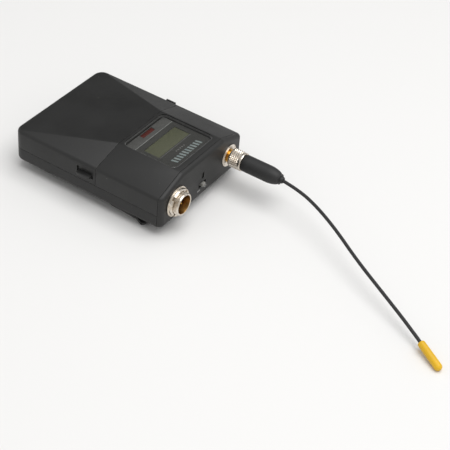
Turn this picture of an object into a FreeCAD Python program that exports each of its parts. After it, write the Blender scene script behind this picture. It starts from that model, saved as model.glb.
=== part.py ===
import FreeCAD, Part
import math
import os

# Wireless bodypack transmitter: a pocket-size radio pack lying on its belt clip,
# with its display upwards. All sizes are in millimetres.
#
# The pack is drawn in its own coordinates: x = 0 is 41.5 mm inside the connector
# panel, y = 0 the middle of the case, z = 0 the flat back, +X towards the connectors, +Z out of the display.
# export() then moves everything to the frame of the finished part, whose origin
# is on the table under the middle of the object.

Vector = FreeCAD.Vector
X_AXIS = Vector(1, 0, 0)
Y_AXIS = Vector(0, 1, 0)
Z_AXIS = Vector(0, 0, 1)

# ---- case ----
CASE_LENGTH = 85.0
CASE_WIDTH = 65.0
PANEL_HEIGHT = 22.8        # back to the flat centre panel
EDGE_HEIGHT = 17.0         # back to the crease along the sides and battery end
PANEL_HALF = 16.4          # half width of the centre panel
SIDE_WALL = 1.6
TOP_WALL = 1.1
FLOOR_WALL = 1.1
BATTERY_CORNER = 4.8       # plan radius of the two battery-end corners
FRONT_CORNER = 3.0         # plan radius of the two connector-end corners
BACK_ROUND = 2.5
CREASE_ROUND = 2.0
PANEL_ROUND = 3.0
SPLIT = 7.4                # height of the line between back shell and covers
GAP = 0.2                  # visible joint between two shells
SEAM_SIDE = 4.4            # where the door meets the front cover, at the sides
SEAM_PANEL = 5.2           # and along the centre panel
END_PLATE = 2.3            # thickness of the connector panel
CONNECTOR_END = 41.5
BATTERY_END = CONNECTOR_END - CASE_LENGTH
HALF_WIDTH = CASE_WIDTH / 2
PLATE_X = CONNECTOR_END - END_PLATE
SHOULDER_SLOPE = (PANEL_HEIGHT - EDGE_HEIGHT) / (HALF_WIDTH - PANEL_HALF)
DOOR_SLOPE = (PANEL_HEIGHT - EDGE_HEIGHT) / (SEAM_PANEL - BATTERY_END)

# ---- battery door hinge, at the outer edge of the battery end ----
DOOR_AXIS_X = BATTERY_END - 0.3
KNUCKLE_R = 1.5
KNUCKLE_CLEAR = 1.8
DOOR_PIN_R = 0.65
DOOR_KNUCKLES = [(14.2, 19.0)]
SHELL_KNUCKLES = [(10.0, 14.0), (19.2, 23.2)]

# ---- side latches ----
LATCH_Z = (11.2, 14.1)
LATCH_SLOT_X = (-6.0, 3.2)
LATCH_PIVOT = (-4.8, 30.0)
LATCH_PIN_R = 0.5
LATCH_REACH = 2.4           # how far the thumb plates stand out of the sides
FAR_LIP_TOP = 15.6          # the far one is turned up at its edge
RUNNING_FIT = 0.05

# ---- battery ----
BATTERY_X = (-20.5, 5.5)
BATTERY_Y = (-24.1, 22.1)
BATTERY_Z = (1.2, 18.0)
STUD_PITCH = 12.7
STUD_TIP_Y = -26.0

# ---- display ----
WINDOW_X = (7.1, 36.2)
WINDOW_HALF = 15.6
WINDOW_CORNER = 3.0
WINDOW_TOP = PANEL_HEIGHT - 0.25
WINDOW_THICK = 1.1
WINDOW_GAP = 0.35
LCD_VIEW_X = (16.3, 25.0)
LCD_VIEW_HALF = 12.1
INDICATOR_X = (8.3, 10.7)
INDICATOR_HALF = 4.5

# ---- connectors ----
SOCKET_Y = -21.2
SOCKET_Z = 10.6
SOCKET_R = 5.55
SOCKET_BORE_R = 4.6
SOCKET_END_X = 46.2
SOCKET_NUT_R = 7.5
SOCKET_NUT_X = (CONNECTOR_END, CONNECTOR_END + 2.5)
JACK_Y = 21.2
JACK_Z = 11.3
JACK_R = 3.175
JACK_BORE_R = 2.05
JACK_END_X = 47.0
RING_R = 5.65
RING_END_X = CONNECTOR_END + 0.8

# ---- antenna ----
NUT_X = (43.6, 50.5)
NUT_R = 4.65
FERRULE_END_X = 53.0
FERRULE_R = 2.55
BOOT_X = (50.6, 72.0)
BOOT_R = 4.1
WHIP_R = 0.8
WHIP_START_X = 70.5
TIP_R = 1.8
TIP_LENGTH = 15.0
TIP_BORE = 12.0

# ---- switch on the connector panel ----
SWITCH_Z = 7.2
SWITCH_HALF = 2.9
LIGHT_Z = 12.2

# ---- belt clip ----
CLIP_AXIS_X = -20.0
CLIP_AXIS_Z = -2.6
CLIP_BARREL_R = 2.2
CLIP_PIN_R = 0.8
CLIP_THICK = 1.0
CLIP_TONGUE_HALF = 11.0
CLIP_PADDLE_X = (10.0, 31.6)
CLIP_PADDLE_HALF = 29.6
BEAD_R = 0.6
BACK_LIFT = CLIP_BARREL_R - CLIP_AXIS_Z     # height of the back above the table

# The part's origin is halfway between the hinge knuckles and the antenna ferrule.
FRAME_SHIFT = Vector(-(DOOR_AXIS_X - KNUCKLE_R + FERRULE_END_X) / 2, 0, BACK_LIFT)

# The whip's route, from the end of the rubber boot to its tip, in case coordinates.
# It leaves straight along +X, then leans towards -Y and comes down to the table.
WHIP_ROUTE = [
    Vector(WHIP_START_X, JACK_Y, JACK_Z),
    Vector(81.0, 20.1, 11.0),
    Vector(93.0, 16.3, 10.0),
    Vector(107.1, 9.9, 8.1),
    Vector(124.2, 0.3, 5.5),
    Vector(143.3, -8.9, 2.9),
    Vector(161.5, -17.7, 0.3),
    Vector(178.7, -26.7, -2.8),
]


def box(x, y, z):
    return Part.makeBox(x[1] - x[0], y[1] - y[0], z[1] - z[0], Vector(x[0], y[0], z[0]))


def rod_x(radius, x, y, z):
    return Part.makeCylinder(radius, x[1] - x[0], Vector(x[0], y, z), X_AXIS)


def rod_y(radius, y, x, z):
    return Part.makeCylinder(radius, y[1] - y[0], Vector(x, y[0], z), Y_AXIS)


def rod_z(radius, z, x, y):
    return Part.makeCylinder(radius, z[1] - z[0], Vector(x, y, z[0]), Z_AXIS)


def tube_x(outer, inner, x, y, z):
    return rod_x(outer, x, y, z).cut(rod_x(inner, x, y, z))


def prism(points, direction):
    return Part.Face(Part.makePolygon(points + [points[0]])).extrude(direction)


def fused(shapes):
    return shapes[0].multiFuse(shapes[1:]).removeSplitter()


def both_sides(shape):
    return [shape, shape.mirror(Vector(0, 0, 0), Y_AXIS)]


def upright_edges(shape, pick):
    found = []
    for edge in shape.Edges:
        ends = [vertex.Point for vertex in edge.Vertexes]
        if len(ends) == 2 and abs(ends[0].z - ends[1].z) > 0.9 * edge.Length:
            if pick(edge.CenterOfMass):
                found.append(edge)
    return found


def rounded_box(x, y, z, radius):
    block = box(x, y, z)
    return block.makeFillet(radius, upright_edges(block, lambda at: True))


# ---------------------------------------------------------------- case shells

def plan_block(inset, z):
    x = (BATTERY_END + inset, CONNECTOR_END - inset)
    y = (-HALF_WIDTH + inset, HALF_WIDTH - inset)
    block = box(x, y, z)
    rear = upright_edges(block, lambda at: at.x < 0)
    block = block.makeFillet(BATTERY_CORNER - inset, rear)
    front = upright_edges(block, lambda at: at.x > x[1] - 0.1)
    return block.makeFillet(FRONT_CORNER - inset, front)


def envelope(side, top, floor):
    """The faceted case, with its walls moved inwards by side, top and floor."""
    half = HALF_WIDTH - side
    drop = top / math.cos(math.atan(SHOULDER_SLOPE))
    roof = PANEL_HEIGHT - top
    shoulder = EDGE_HEIGHT + SHOULDER_SLOPE * side - drop
    flat_half = HALF_WIDTH - (roof - EDGE_HEIGHT + drop) / SHOULDER_SLOPE
    start = -CASE_LENGTH
    section = [
        Vector(start, -half, floor),
        Vector(start, half, floor),
        Vector(start, half, shoulder),
        Vector(start, flat_half, roof),
        Vector(start, -flat_half, roof),
        Vector(start, -half, shoulder),
    ]
    lengthwise = prism(section, Vector(2 * CASE_LENGTH, 0, 0))
    drop = top / math.cos(math.atan(DOOR_SLOPE))
    low = EDGE_HEIGHT - drop
    crest_x = BATTERY_END + (roof - low) / DOOR_SLOPE
    profile = [
        Vector(start, -CASE_WIDTH, floor),
        Vector(-start, -CASE_WIDTH, floor),
        Vector(-start, -CASE_WIDTH, roof),
        Vector(crest_x, -CASE_WIDTH, roof),
        Vector(start, -CASE_WIDTH, low + DOOR_SLOPE * (start - BATTERY_END)),
    ]
    crosswise = prism(profile, Vector(0, 2 * CASE_WIDTH, 0))
    solid = lengthwise.common(crosswise)
    return solid.common(plan_block(side, (-1, PANEL_HEIGHT + 1)))


def is_level(edge):
    ends = [vertex.Point for vertex in edge.Vertexes]
    return len(ends) == 2 and abs(ends[0].z - ends[1].z) < EDGE_HEIGHT / 2


def on_outline(point):
    """True where a point is near the plan outline of the case."""
    at_side = abs(point.y) > HALF_WIDTH - FRONT_CORNER
    return at_side or point.x > CONNECTOR_END - 1.5 or point.x < BATTERY_END + 1.5


def rounded_case():
    case = envelope(0, 0, 0)
    creases = []
    for edge in case.Edges:
        at = edge.CenterOfMass
        if at.z > EDGE_HEIGHT + 1 and not on_outline(at):
            creases.append(edge)
    case = case.makeFillet(PANEL_ROUND, creases)
    rim = []
    for edge in case.Edges:
        at = edge.CenterOfMass
        if is_level(edge) and at.z > EDGE_HEIGHT - 1 and on_outline(at):
            rim.append(edge)
    case = case.makeFillet(CREASE_ROUND, rim)
    back = [edge for edge in case.Edges if is_level(edge) and edge.CenterOfMass.z < 0.1]
    return case.makeFillet(BACK_ROUND, back)


def door_region(shift):
    """Everything on the battery side of the seam, as a tall block."""
    far = 2 * CASE_LENGTH
    side_x = SEAM_SIDE + shift
    panel_x = SEAM_PANEL + shift
    outline = [
        Vector(-far, -far, 0),
        Vector(side_x, -far, 0),
        Vector(side_x, -HALF_WIDTH, 0),
        Vector(panel_x, -PANEL_HALF, 0),
        Vector(panel_x, PANEL_HALF, 0),
        Vector(side_x, HALF_WIDTH, 0),
        Vector(side_x, far, 0),
        Vector(-far, far, 0),
    ]
    return prism(outline, Vector(0, 0, 2 * PANEL_HEIGHT))


SCREW_POSTS = [(12.0, 27.0), (30.5, 27.0)]
BOARD_POSTS = [(11.0, 20.5), (28.5, 20.5)]
SCREW_HEAD_R = 1.9
SCREW_SHANK_R = 1.0
BOARD_Z = (5.0, 6.2)


def knuckle(span):
    return rod_y(KNUCKLE_R, span, DOOR_AXIS_X, SPLIT)


def knuckle_room(span):
    wide = (span[0] - GAP, span[1] + GAP)
    return rod_y(KNUCKLE_CLEAR, wide, DOOR_AXIS_X, SPLIT)


def hinge_web(span, z):
    return box((DOOR_AXIS_X, BATTERY_END + 1.0), span, z)


def back_shell(case, hollow):
    shell = case.cut(hollow)
    far = CASE_LENGTH
    shell = shell.common(box((-far, PLATE_X), (-far, far), (-1, SPLIT - GAP / 2)))
    door_cuts = [knuckle_room(span) for span in DOOR_KNUCKLES]
    for cutter in door_cuts:
        for side in both_sides(cutter):
            shell = shell.cut(side)
    adds = []
    for span in SHELL_KNUCKLES:
        web = hinge_web(span, (SPLIT - KNUCKLE_R, SPLIT - GAP / 2))
        adds += both_sides(knuckle(span).fuse(web))
    for x, y in SCREW_POSTS:
        adds += both_sides(rod_z(2.8, (FLOOR_WALL / 2, 6.0), x, y))
    for x, y in BOARD_POSTS:
        adds += both_sides(rod_z(2.2, (FLOOR_WALL / 2, BOARD_Z[0]), x, y))
    catch = box((0.2, 3.0), (29.6, 31.2), (FLOOR_WALL / 2, SPLIT + 1.4))
    catch = catch.cut(box((-1, 4), (30.6, 32), (SPLIT - GAP, SPLIT + 2)))
    adds += both_sides(catch)
    bulkhead_y = (-HALF_WIDTH + 1.0, HALF_WIDTH - 1.0)
    adds.append(box((6.6, 7.6), bulkhead_y, (FLOOR_WALL / 2, SPLIT - 0.6)))
    lip = envelope(SIDE_WALL + 0.1, TOP_WALL, FLOOR_WALL / 2)
    lip = lip.cut(envelope(SIDE_WALL + 0.8, TOP_WALL, 0))
    lip = lip.common(box((BATTERY_END, PLATE_X - 0.6), (-far, far), (SPLIT - 1.5, SPLIT + 0.8)))
    for span in DOOR_KNUCKLES:
        for side in both_sides(knuckle_room(span)):
            lip = lip.cut(side)
    root = envelope(SIDE_WALL - 0.2, TOP_WALL, FLOOR_WALL / 2)
    root = root.cut(envelope(SIDE_WALL + 0.8, TOP_WALL, 0))
    root = root.common(box((BATTERY_END, PLATE_X - 0.6), (-far, far), (SPLIT - 1.5, SPLIT - 0.5)))
    for span in DOOR_KNUCKLES:
        for side in both_sides(knuckle_room(span)):
            root = root.cut(side)
    shell = fused([shell, lip, root] + adds)
    for x, y in CLIP_SCREWS:
        shell = shell.fuse(rod_z(2.4, (FLOOR_WALL / 2, 4.2), x, y))
        shell = shell.cut(rod_z(SCREW_SHANK_R, (-1, 3.6), x, y))
    for x, y in SCREW_POSTS:
        hole = rod_z(SCREW_SHANK_R, (-1, 7), x, y)
        head = rod_z(SCREW_HEAD_R + 0.1, (-1, 1.4), x, y)
        for side in both_sides(hole.fuse(head)):
            shell = shell.cut(side)
    for x, y in BOARD_POSTS:
        for side in both_sides(rod_z(0.8, (FLOOR_WALL + 0.8, 6), x, y)):
            shell = shell.cut(side)
    for span in SHELL_KNUCKLES:
        for side in both_sides(rod_y(DOOR_PIN_R, (span[0] - 1, span[1] + 1), DOOR_AXIS_X, SPLIT)):
            shell = shell.cut(side)
    return shell


def front_cover(case, hollow):
    cover = case.cut(hollow)
    far = CASE_LENGTH
    cover = cover.common(box((0, PLATE_X), (-far, far), (SPLIT + GAP / 2, far)))
    cover = cover.cut(door_region(GAP))
    frame_x = (WINDOW_X[0] - 1.4, WINDOW_X[1] + 1.6)
    frame = box(frame_x, (-WINDOW_HALF - 1.4, WINDOW_HALF + 1.4), (20.2, 22.0))
    frame = frame.common(case)
    bulkhead = box((6.6, 7.6), (-HALF_WIDTH + 1.0, HALF_WIDTH - 1.0), (SPLIT + 1.2, 22.0))
    bulkhead = bulkhead.common(envelope(1.0, 0.6, 0))
    adds = [frame, bulkhead]
    for x, y in SCREW_POSTS:
        post = rod_z(2.8, (6.2, 18.5), x, y).common(envelope(1.0, 0.6, 0))
        adds += both_sides(post)
    cover = fused([cover] + adds)
    pocket_x = (WINDOW_X[0] - WINDOW_GAP, WINDOW_X[1] + WINDOW_GAP)
    pocket_half = WINDOW_HALF + WINDOW_GAP
    floor_z = WINDOW_TOP - WINDOW_THICK - 0.05
    cover = cover.cut(rounded_box(pocket_x, (-pocket_half, pocket_half), (floor_z, 30),
                                  WINDOW_CORNER + WINDOW_GAP))
    view_x = (WINDOW_X[0] + 0.6, WINDOW_X[1] - 0.6)
    cover = cover.cut(box(view_x, (-WINDOW_HALF + 0.6, WINDOW_HALF - 0.6), (19, 25)))
    for x, y in SCREW_POSTS:
        for side in both_sides(rod_z(SCREW_SHANK_R, (5, 15.5), x, y)):
            cover = cover.cut(side)
    return cover


def end_panel(case):
    far = CASE_LENGTH
    panel = case.common(box((PLATE_X + GAP, far), (-far, far), (-1, far)))
    span = (PLATE_X - 1, CONNECTOR_END + 1)
    panel = panel.cut(rod_x(SOCKET_R, span, SOCKET_Y, SOCKET_Z))
    panel = panel.cut(rod_x(JACK_R, span, JACK_Y, JACK_Z))
    slot = box(span, (-SWITCH_HALF, SWITCH_HALF), (SWITCH_Z - 1.2, SWITCH_Z + 1.2))
    panel = panel.cut(slot)
    return panel.cut(box(span, (-0.9, 0.9), (LIGHT_Z - 1.6, LIGHT_Z + 1.6)))


# ---------------------------------------------------------------- battery door

def battery_door(case, hollow):
    door = case.cut(hollow)
    far = CASE_LENGTH
    door = door.common(box((-far, far), (-far, far), (SPLIT + GAP / 2, far)))
    door = door.common(door_region(0))
    for span in SHELL_KNUCKLES:
        for side in both_sides(knuckle_room(span)):
            door = door.cut(side)
    adds = []
    for span in DOOR_KNUCKLES:
        web = hinge_web(span, (SPLIT + GAP / 2, SPLIT + KNUCKLE_R))
        adds += both_sides(knuckle(span).fuse(web))
    pivot_x, pivot_y = LATCH_PIVOT
    for z in ((9.4, LATCH_Z[0] - 0.2), (LATCH_Z[1] + 0.2, 16.4)):
        adds += both_sides(box((pivot_x - 1.6, pivot_x + 1.6), (pivot_y - 1.3, 31.2), z))
    door = fused([door] + adds)
    slot_z = (LATCH_Z[0] - 0.3, LATCH_Z[1] + 0.3)
    slot = box(LATCH_SLOT_X, (HALF_WIDTH - SIDE_WALL - 0.1, 36), slot_z)
    hook = box((LATCH_SLOT_X[1] - 1.0, LATCH_SLOT_X[1]), (HALF_WIDTH - 0.9, 36), (10.3, 12))
    scoop = rod_x(3.0, (LATCH_SLOT_X[0], LATCH_SLOT_X[1] - 1.0), 34.9, 12.1)
    pin_hole = rod_z(LATCH_PIN_R, (8, 16.4), pivot_x, pivot_y)
    for cutter in (slot, hook, scoop, pin_hole):
        for side in both_sides(cutter):
            door = door.cut(side)
    for span in DOOR_KNUCKLES:
        bore = rod_y(DOOR_PIN_R + RUNNING_FIT, (span[0] - 1, span[1] + 1), DOOR_AXIS_X, SPLIT)
        for side in both_sides(bore):
            door = door.cut(side)
    return door


def door_hinge_pins():
    first = SHELL_KNUCKLES[0][0]
    last = SHELL_KNUCKLES[-1][1]
    return both_sides(rod_y(DOOR_PIN_R, (first, last), DOOR_AXIS_X, SPLIT))


def door_latch():
    """The lever at +Y: a thumb plate on a block that pivots at its battery end."""
    low, high = LATCH_Z
    inner = HALF_WIDTH - 0.6
    block = prism([
        Vector(-5.7, 29.2, low),
        Vector(2.8, 29.4, low),
        Vector(2.8, inner, low),
        Vector(-5.7, inner, low),
    ], Vector(0, 0, high - low))
    plate = box((-5.2, 2.4), (30.4, HALF_WIDTH + LATCH_REACH), (low, low + 1.0))
    plate = plate.makeFillet(1.2, upright_edges(plate, lambda at: at.y > HALF_WIDTH))
    nose = box((0.4, 2.4), (29.4, 30.4), (9.4, low + 0.5))
    bore = rod_z(LATCH_PIN_R + RUNNING_FIT, (low - 1, high + 1), LATCH_PIVOT[0], LATCH_PIVOT[1])
    return fused([block, plate, nose]).cut(bore)


def far_latch():
    """The far lever has its edge turned up, so that a thumb finds it."""
    outer = HALF_WIDTH + LATCH_REACH
    lip = box((-4.0, 1.2), (outer - 0.8, outer), (LATCH_Z[0], FAR_LIP_TOP))
    return fused([door_latch(), lip])


def latch_pins():
    pin = rod_z(LATCH_PIN_R, (9.5, 16.4), LATCH_PIVOT[0], LATCH_PIVOT[1])
    return both_sides(pin)


def door_pad(hollow):
    pad = box((-4.0, 3.4), (-10, 10), (18.4, 30))
    return pad.common(hollow)


# ---------------------------------------------------------------- battery and contacts

def battery_case():
    case = box(BATTERY_X, BATTERY_Y, BATTERY_Z)
    along = [edge for edge in case.Edges if abs(edge.Length - (BATTERY_Y[1] - BATTERY_Y[0])) < 0.01]
    return case.makeFillet(2.2, along)


def stud_places():
    middle_x = (BATTERY_X[0] + BATTERY_X[1]) / 2
    middle_z = (BATTERY_Z[0] + BATTERY_Z[1]) / 2
    return (middle_x - STUD_PITCH / 2, middle_x + STUD_PITCH / 2), middle_z


def battery_studs():
    places, z = stud_places()
    span = (STUD_TIP_Y, BATTERY_Y[0])
    small = rod_y(2.9, span, places[0], z)
    points = []
    for turn in range(6):
        angle = math.radians(60 * turn)
        points.append(Vector(places[1] + 4.3 * math.cos(angle), span[0], z + 4.3 * math.sin(angle)))
    large = prism(points, Vector(0, span[1] - span[0], 0))
    return [small, large.cut(rod_y(2.9, (span[0] - 1, span[0] + 1.2), places[1], z))]


def contact_block():
    return box((BATTERY_X[0] + 3, BATTERY_X[1] - 3), (-28.0, -26.5), (FLOOR_WALL, 15.5))


def contact_springs():
    places, z = stud_places()
    springs = []
    for x in places:
        springs.append(box((x - 2.2, x + 2.2), (-26.5, STUD_TIP_Y), (z - 4.5, z + 4.5)))
    return springs


# ---------------------------------------------------------------- controls under the door

BUTTON_X = -30.5
BUTTONS = {"select_button": 14.0, "set_button": 4.0}
BUTTON_R = 2.6
TRIMMER_Y = -16.0
DECK_Z = (4.6, 5.8)


def control_deck():
    deck = rounded_box((-38.4, -22.2), (-26.5, 26.5), DECK_Z, 2.0)
    for y in BUTTONS.values():
        deck = deck.cut(rod_z(BUTTON_R + 0.3, (0, 9), BUTTON_X, y))
    return deck.cut(rod_z(1.5, (0, 9), BUTTON_X, TRIMMER_Y))


def push_button(y):
    cap = rod_z(BUTTON_R, (5.0, 8.2), BUTTON_X, y)
    top = [edge for edge in cap.Edges if edge.CenterOfMass.z > 8.1]
    return cap.makeFillet(0.5, top)


def key_switches():
    return [box((BUTTON_X - 3, BUTTON_X + 3), (y - 3, y + 3), (FLOOR_WALL, 4.2)) for y in BUTTONS.values()]


def trimmer_base():
    return box((BUTTON_X - 3.4, BUTTON_X + 3.4), (TRIMMER_Y - 3.4, TRIMMER_Y + 3.4), (FLOOR_WALL, 4.0))


def gain_trimmer():
    knob = rod_z(3.2, (6.1, 7.8), BUTTON_X, TRIMMER_Y)
    knob = knob.fuse(rod_z(1.2, (4.3, 6.5), BUTTON_X, TRIMMER_Y)).removeSplitter()
    slot = box((BUTTON_X - 0.4, BUTTON_X + 3.4), (TRIMMER_Y - 0.4, TRIMMER_Y + 0.4), (7.1, 9))
    return knob.cut(slot)


# ---------------------------------------------------------------- display

def display_window():
    low = WINDOW_TOP - WINDOW_THICK
    pane = rounded_box(WINDOW_X, (-WINDOW_HALF, WINDOW_HALF), (low, WINDOW_TOP), WINDOW_CORNER)
    top = [edge for edge in pane.Edges if edge.CenterOfMass.z > WINDOW_TOP - 0.01]
    return pane.makeChamfer(0.3, top)


def display_mask():
    mask = box((WINDOW_X[0] + 0.7, WINDOW_X[1] - 0.7), (-WINDOW_HALF + 0.7, WINDOW_HALF - 0.7), (20.3, 21.3))
    mask = mask.cut(box(LCD_VIEW_X, (-LCD_VIEW_HALF, LCD_VIEW_HALF), (19, 22)))
    slot_x = (INDICATOR_X[0] - 0.1, INDICATOR_X[1] + 0.1)
    return mask.cut(box(slot_x, (-INDICATOR_HALF - 0.1, INDICATOR_HALF + 0.1), (19, 22)))


def indicator_window():
    return box(INDICATOR_X, (-INDICATOR_HALF, INDICATOR_HALF), (20.3, 21.2))


def lcd_glass():
    return box((LCD_VIEW_X[0] - 0.8, LCD_VIEW_X[1] + 0.8), (-LCD_VIEW_HALF - 0.8, LCD_VIEW_HALF + 0.8), (19.3, 20.2))


def lcd_holder():
    holder = box((LCD_VIEW_X[0] - 2, LCD_VIEW_X[1] + 2), (-LCD_VIEW_HALF - 1.8, LCD_VIEW_HALF + 1.8), (17.6, 19.9))
    glass_room = (LCD_VIEW_X[0] - 0.9, LCD_VIEW_X[1] + 0.9)
    return holder.cut(box(glass_room, (-LCD_VIEW_HALF - 0.9, LCD_VIEW_HALF + 0.9), (19.3, 21)))


def display_board():
    return box((8.6, 34.0), (-14.5, 14.5), (16.4, 17.6))


# ---------------------------------------------------------------- electronics

def main_board():
    board = box((8.4, 31.5), (-23.8, 23.8), BOARD_Z)
    for x, y in BOARD_POSTS:
        for side in both_sides(rod_z(0.8, (0, 9), x, y)):
            board = board.cut(side)
    return board


def board_screws():
    screws = []
    for x, y in BOARD_POSTS:
        head = rod_z(1.6, (BOARD_Z[1], BOARD_Z[1] + 1.1), x, y)
        shank = rod_z(0.8, (FLOOR_WALL + 0.9, BOARD_Z[1] + 0.5), x, y)
        screw = head.fuse(shank).removeSplitter()
        screws += both_sides(screw.cut(box((x - 0.2, x + 0.2), (y - 1.2, y + 1.2), (BOARD_Z[1] + 0.6, 9))))
    return screws


def rf_shield():
    top = BOARD_Z[1] + 4.0
    can = box((12.5, 26.5), (-3, 17.5), (BOARD_Z[1], top))
    return can.cut(box((12.8, 26.2), (-2.7, 17.2), (0, top - 0.3)))


def board_chips():
    base = BOARD_Z[1]
    sizes = [(10.0, -16.0, 7.0, 7.0, 1.4), (20.5, -14.0, 6.0, 9.0, 1.6), (10.5, -6.5, 5.0, 1.8, 1.2)]
    chips = []
    for x, y, length, width, height in sizes:
        chips.append(box((x, x + length), (y, y + width), (base, base + height)))
    chips.append(rod_z(3.1, (base, base + 6.5), 18.0, -20.0))
    return chips


# ---------------------------------------------------------------- audio socket

def audio_socket():
    barrel = rod_x(SOCKET_R, (34.0, SOCKET_END_X), SOCKET_Y, SOCKET_Z)
    barrel = barrel.fuse(rod_x(SOCKET_R + 1.6, (37.4, PLATE_X + GAP), SOCKET_Y, SOCKET_Z)).removeSplitter()
    bore = rod_x(SOCKET_BORE_R, (33, SOCKET_END_X + 1), SOCKET_Y, SOCKET_Z)
    rim = [edge for edge in barrel.Edges if abs(edge.CenterOfMass.x - SOCKET_END_X) < 0.01]
    return barrel.makeChamfer(0.3, rim).cut(bore)


def socket_nut():
    nut = rod_x(SOCKET_NUT_R, SOCKET_NUT_X, SOCKET_Y, SOCKET_Z)
    face = [edge for edge in nut.Edges if abs(edge.CenterOfMass.x - SOCKET_NUT_X[1]) < 0.01]
    nut = nut.makeChamfer(0.5, face)
    nut = nut.cut(rod_x(SOCKET_R, (40, 46), SOCKET_Y, SOCKET_Z))
    for turn in range(4):
        notch = box((SOCKET_NUT_X[1] - 1.3, 46), (6.0, 9.0), (-1.0, 1.0))
        notch.rotate(Vector(0, 0, 0), X_AXIS, 45 + 90 * turn)
        notch.translate(Vector(0, SOCKET_Y, SOCKET_Z))
        nut = nut.cut(notch)
    return nut


def pin_places():
    places = []
    for turn in range(4):
        angle = math.radians(45 + 90 * turn)
        places.append((SOCKET_Y + 2.3 * math.cos(angle), SOCKET_Z + 2.3 * math.sin(angle)))
    return places


def socket_insulator():
    disc = rod_x(SOCKET_BORE_R, (34.6, 37.4), SOCKET_Y, SOCKET_Z)
    key = box((37.0, 43.5), (SOCKET_Y - 0.6, SOCKET_Y + 0.6), (SOCKET_Z + 3.7, SOCKET_Z + 4.4))
    disc = disc.fuse(key).removeSplitter()
    for y, z in pin_places():
        disc = disc.cut(rod_x(0.5, (30, 40), y, z))
    return disc


def socket_pins():
    pins = []
    for y, z in pin_places():
        pin = rod_x(0.5, (32.6, 43.6), y, z)
        tip = [edge for edge in pin.Edges if abs(edge.CenterOfMass.x - 43.6) < 0.01]
        pins.append(pin.makeFillet(0.3, tip))
    return pins


# ---------------------------------------------------------------- antenna jack and antenna

def antenna_jack():
    body = rod_x(JACK_R, (36.4, JACK_END_X), JACK_Y, JACK_Z)
    body = body.fuse(rod_x(4.8, (37.2, PLATE_X + GAP), JACK_Y, JACK_Z)).removeSplitter()
    rim = [edge for edge in body.Edges if abs(edge.CenterOfMass.x - JACK_END_X) < 0.01]
    body = body.makeChamfer(0.25, rim)
    return body.cut(rod_x(JACK_BORE_R, (38.0, 48), JACK_Y, JACK_Z))


def jack_ring():
    ring = rod_x(RING_R, (CONNECTOR_END, RING_END_X), JACK_Y, JACK_Z)
    face = [edge for edge in ring.Edges if abs(edge.CenterOfMass.x - RING_END_X) < 0.01]
    ring = ring.makeChamfer(0.3, face)
    return ring.cut(rod_x(JACK_R, (40, 44), JACK_Y, JACK_Z))


def jack_insulator():
    return tube_x(JACK_BORE_R, 0.8, (38.0, 46.0), JACK_Y, JACK_Z)


def jack_contact():
    contact = rod_x(0.8, (38.0, 45.8), JACK_Y, JACK_Z)
    return contact.cut(rod_x(0.55, (41.0, 46), JACK_Y, JACK_Z))


def antenna_nut():
    nut = rod_x(NUT_R, NUT_X, JACK_Y, JACK_Z)
    front = [edge for edge in nut.Edges if abs(edge.CenterOfMass.x - NUT_X[1]) < 0.01]
    rear = [edge for edge in nut.Edges if abs(edge.CenterOfMass.x - NUT_X[0]) < 0.01]
    nut = nut.makeChamfer(0.3, rear + front)
    nut = nut.cut(rod_x(JACK_R + RUNNING_FIT, (40, 49.3), JACK_Y, JACK_Z))
    return nut.cut(rod_x(FERRULE_R + RUNNING_FIT, (48, 52), JACK_Y, JACK_Z))


def antenna_ferrule():
    flange = rod_x(3.1, (JACK_END_X + 0.05, 49.1), JACK_Y, JACK_Z)
    neck = rod_x(FERRULE_R, (49.0, FERRULE_END_X), JACK_Y, JACK_Z)
    body = flange.fuse(neck).removeSplitter()
    return body.cut(rod_x(0.5, (40, 51.0), JACK_Y, JACK_Z))


def antenna_pin():
    pin = rod_x(0.5, (42.4, 51.0), JACK_Y, JACK_Z)
    tip = [edge for edge in pin.Edges if abs(edge.CenterOfMass.x - 42.4) < 0.01]
    return pin.makeFillet(0.3, tip)


def antenna_boot():
    start, end = BOOT_X
    points = [
        Vector(start, 0, 0),
        Vector(start, BOOT_R - 0.3, 0),
        Vector(start + 0.3, BOOT_R, 0),
        Vector(end - 7.6, BOOT_R, 0),
    ]
    neck = Vector(end - 1.6, 1.75, 0)
    lines = []
    for first, second in zip(points, points[1:]):
        lines.append(Part.LineSegment(first, second).toShape())
    lines.append(Part.Arc(points[-1], Vector(end - 4.0, 3.2, 0), neck).toShape())
    close = [neck, Vector(end, 1.5, 0), Vector(end, 0, 0), points[0]]
    for first, second in zip(close, close[1:]):
        lines.append(Part.LineSegment(first, second).toShape())
    boot = Part.Face(Part.Wire(lines)).revolve(Vector(0, 0, 0), X_AXIS, 360)
    boot.translate(Vector(0, JACK_Y, JACK_Z))
    boot = boot.cut(rod_x(FERRULE_R, (40, FERRULE_END_X), JACK_Y, JACK_Z))
    return boot.cut(rod_x(WHIP_R, (WHIP_START_X, 80), JACK_Y, JACK_Z))


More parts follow.
